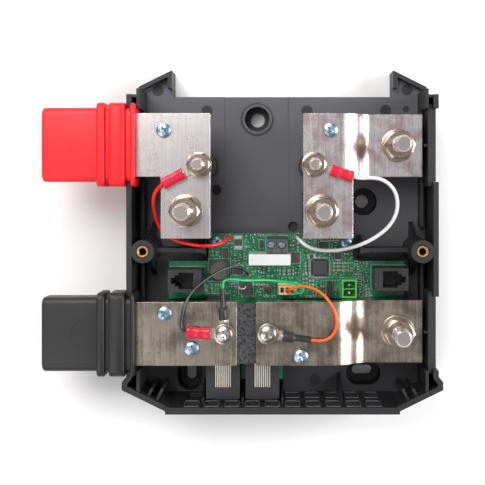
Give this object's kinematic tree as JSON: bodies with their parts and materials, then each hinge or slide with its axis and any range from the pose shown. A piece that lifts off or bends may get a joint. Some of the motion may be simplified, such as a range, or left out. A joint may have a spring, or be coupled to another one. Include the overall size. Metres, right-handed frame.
{
  "type": "battery monitor shunt",
  "caption": "Open DC distribution base with four flat plated busbars, a shunt element, a monitoring circuit board with sockets, sense wires and two rubber sleeves over the input busbar ends.",
  "frame": {"origin": "centre of the back face that lies against the wall, on the housing's centre line", "axes": "+X along the busbars away from the sleeved input ends, +Y up the wall, +Z out of the wall towards the viewer"},
  "size_m": [0.1892, 0.1655, 0.064],
  "materials": {
    "black_abs": "black ABS, fine moulded texture",
    "brass_insert": "turned brass",
    "tin_plated_copper": "tin plated copper busbar, brushed",
    "shunt_coating": "black coated resistance alloy",
    "red_rubber": "soft matt moulded rubber",
    "black_rubber": "soft matt moulded rubber",
    "nickel_steel": "nickel plated",
    "zinc_steel": "blue zinc plated",
    "board_green": "green solder mask",
    "jack_plastic": "satin black",
    "contact_metal": "tinned phosphor bronze",
    "contact_gold": "gold flashed",
    "relay_white": "satin white",
    "block_black": "satin black",
    "ferrite": "ferrite, matt",
    "chip_black": "epoxy moulding, matt",
    "header_green": "satin bright green",
    "connector_beige": "nylon, natural",
    "capacitor_black": "sleeved can",
    "led_lens": "clear tinted lens",
    "capacitor_tan": "ceramic with tinned ends",
    "tinned_terminal": "tinned",
    "crimp_red": "red insulation sleeve",
    "shrink_black": "heat shrink",
    "wire_red": "insulation",
    "wire_white": "insulation",
    "wire_black": "insulation",
    "wire_green": "insulation",
    "wire_orange": "insulation"
  },
  "bodies": {
    "module": {"housing_floor": "black_abs", "housing_left_wall": "black_abs", "housing_right_wall": "black_abs", "housing_bottom_wall": "black_abs", "thread_inserts": "brass_insert", "positive_input_busbar": "tin_plated_copper", "positive_output_busbar": "tin_plated_copper", "negative_input_busbar": "tin_plated_copper", "negative_output_busbar": "tin_plated_copper", "shunt_element": "shunt_coating", "m8_bolts": "nickel_steel", "m8_nuts": "nickel_steel", "m8_spring_washers": "nickel_steel", "m8_flat_washers": "nickel_steel", "m6_bolts": "nickel_steel", "m6_nuts": "nickel_steel", "m6_washers": "nickel_steel", "busbar_screws": "zinc_steel", "sense_screws": "zinc_steel", "sense_washers": "zinc_steel", "board_screws": "zinc_steel", "circuit_board": "board_green", "network_jack_left": "jack_plastic", "network_jack_right": "jack_plastic", "network_jack_contacts": "contact_metal", "bus_jack_left": "jack_plastic", "bus_jack_right": "jack_plastic", "bus_jack_contacts": "contact_gold", "alarm_relay": "relay_white", "relay_terminal_block": "block_black", "terminal_screws": "zinc_steel", "power_inductor": "ferrite", "microcontroller": "chip_black", "driver_chips": "chip_black", "alarm_header": "header_green", "alarm_header_pins": "contact_metal", "sense_header": "connector_beige", "sense_plug": "connector_beige", "power_resistors": "chip_black", "diodes": "chip_black", "capacitor_can": "capacitor_black", "status_light": "led_lens", "pin_header": "block_black", "board_connector": "block_black", "chip_capacitors": "capacitor_tan", "chip_resistors": "chip_black", "tap_terminals": "tinned_terminal", "sense_terminals": "tinned_terminal", "reference_terminal": "tinned_terminal", "crimp_sleeves": "crimp_red", "shrink_sleeves": "shrink_black", "red_wire": "wire_red", "white_wire": "wire_white", "black_wire": "wire_black", "green_wire": "wire_green", "orange_wire": "wire_orange"},
    "red_sleeve_body": {"red_sleeve": "red_rubber"},
    "black_sleeve_body": {"black_sleeve": "black_rubber"},
    "upper_barrier_body": {"upper_barrier": "black_abs"},
    "lower_barrier_body": {"lower_barrier": "black_abs"}
  },
  "joints": [
    {"name": "red_sleeve_pull", "type": "slide", "parent": "module", "child": "red_sleeve_body", "axis": [-1, 0, 0], "range_m": [0, 0.055], "deforming": ["red_sleeve"]},
    {"name": "black_sleeve_pull", "type": "slide", "parent": "module", "child": "black_sleeve_body", "axis": [-1, 0, 0], "range_m": [0, 0.055], "deforming": ["black_sleeve"]},
    {"name": "upper_barrier_lift", "type": "slide", "parent": "module", "child": "upper_barrier_body", "axis": [0, 0, 1], "range_m": [0, 0.03]},
    {"name": "lower_barrier_lift", "type": "slide", "parent": "module", "child": "lower_barrier_body", "axis": [0, 0, 1], "range_m": [0, 0.03]}
  ]
}
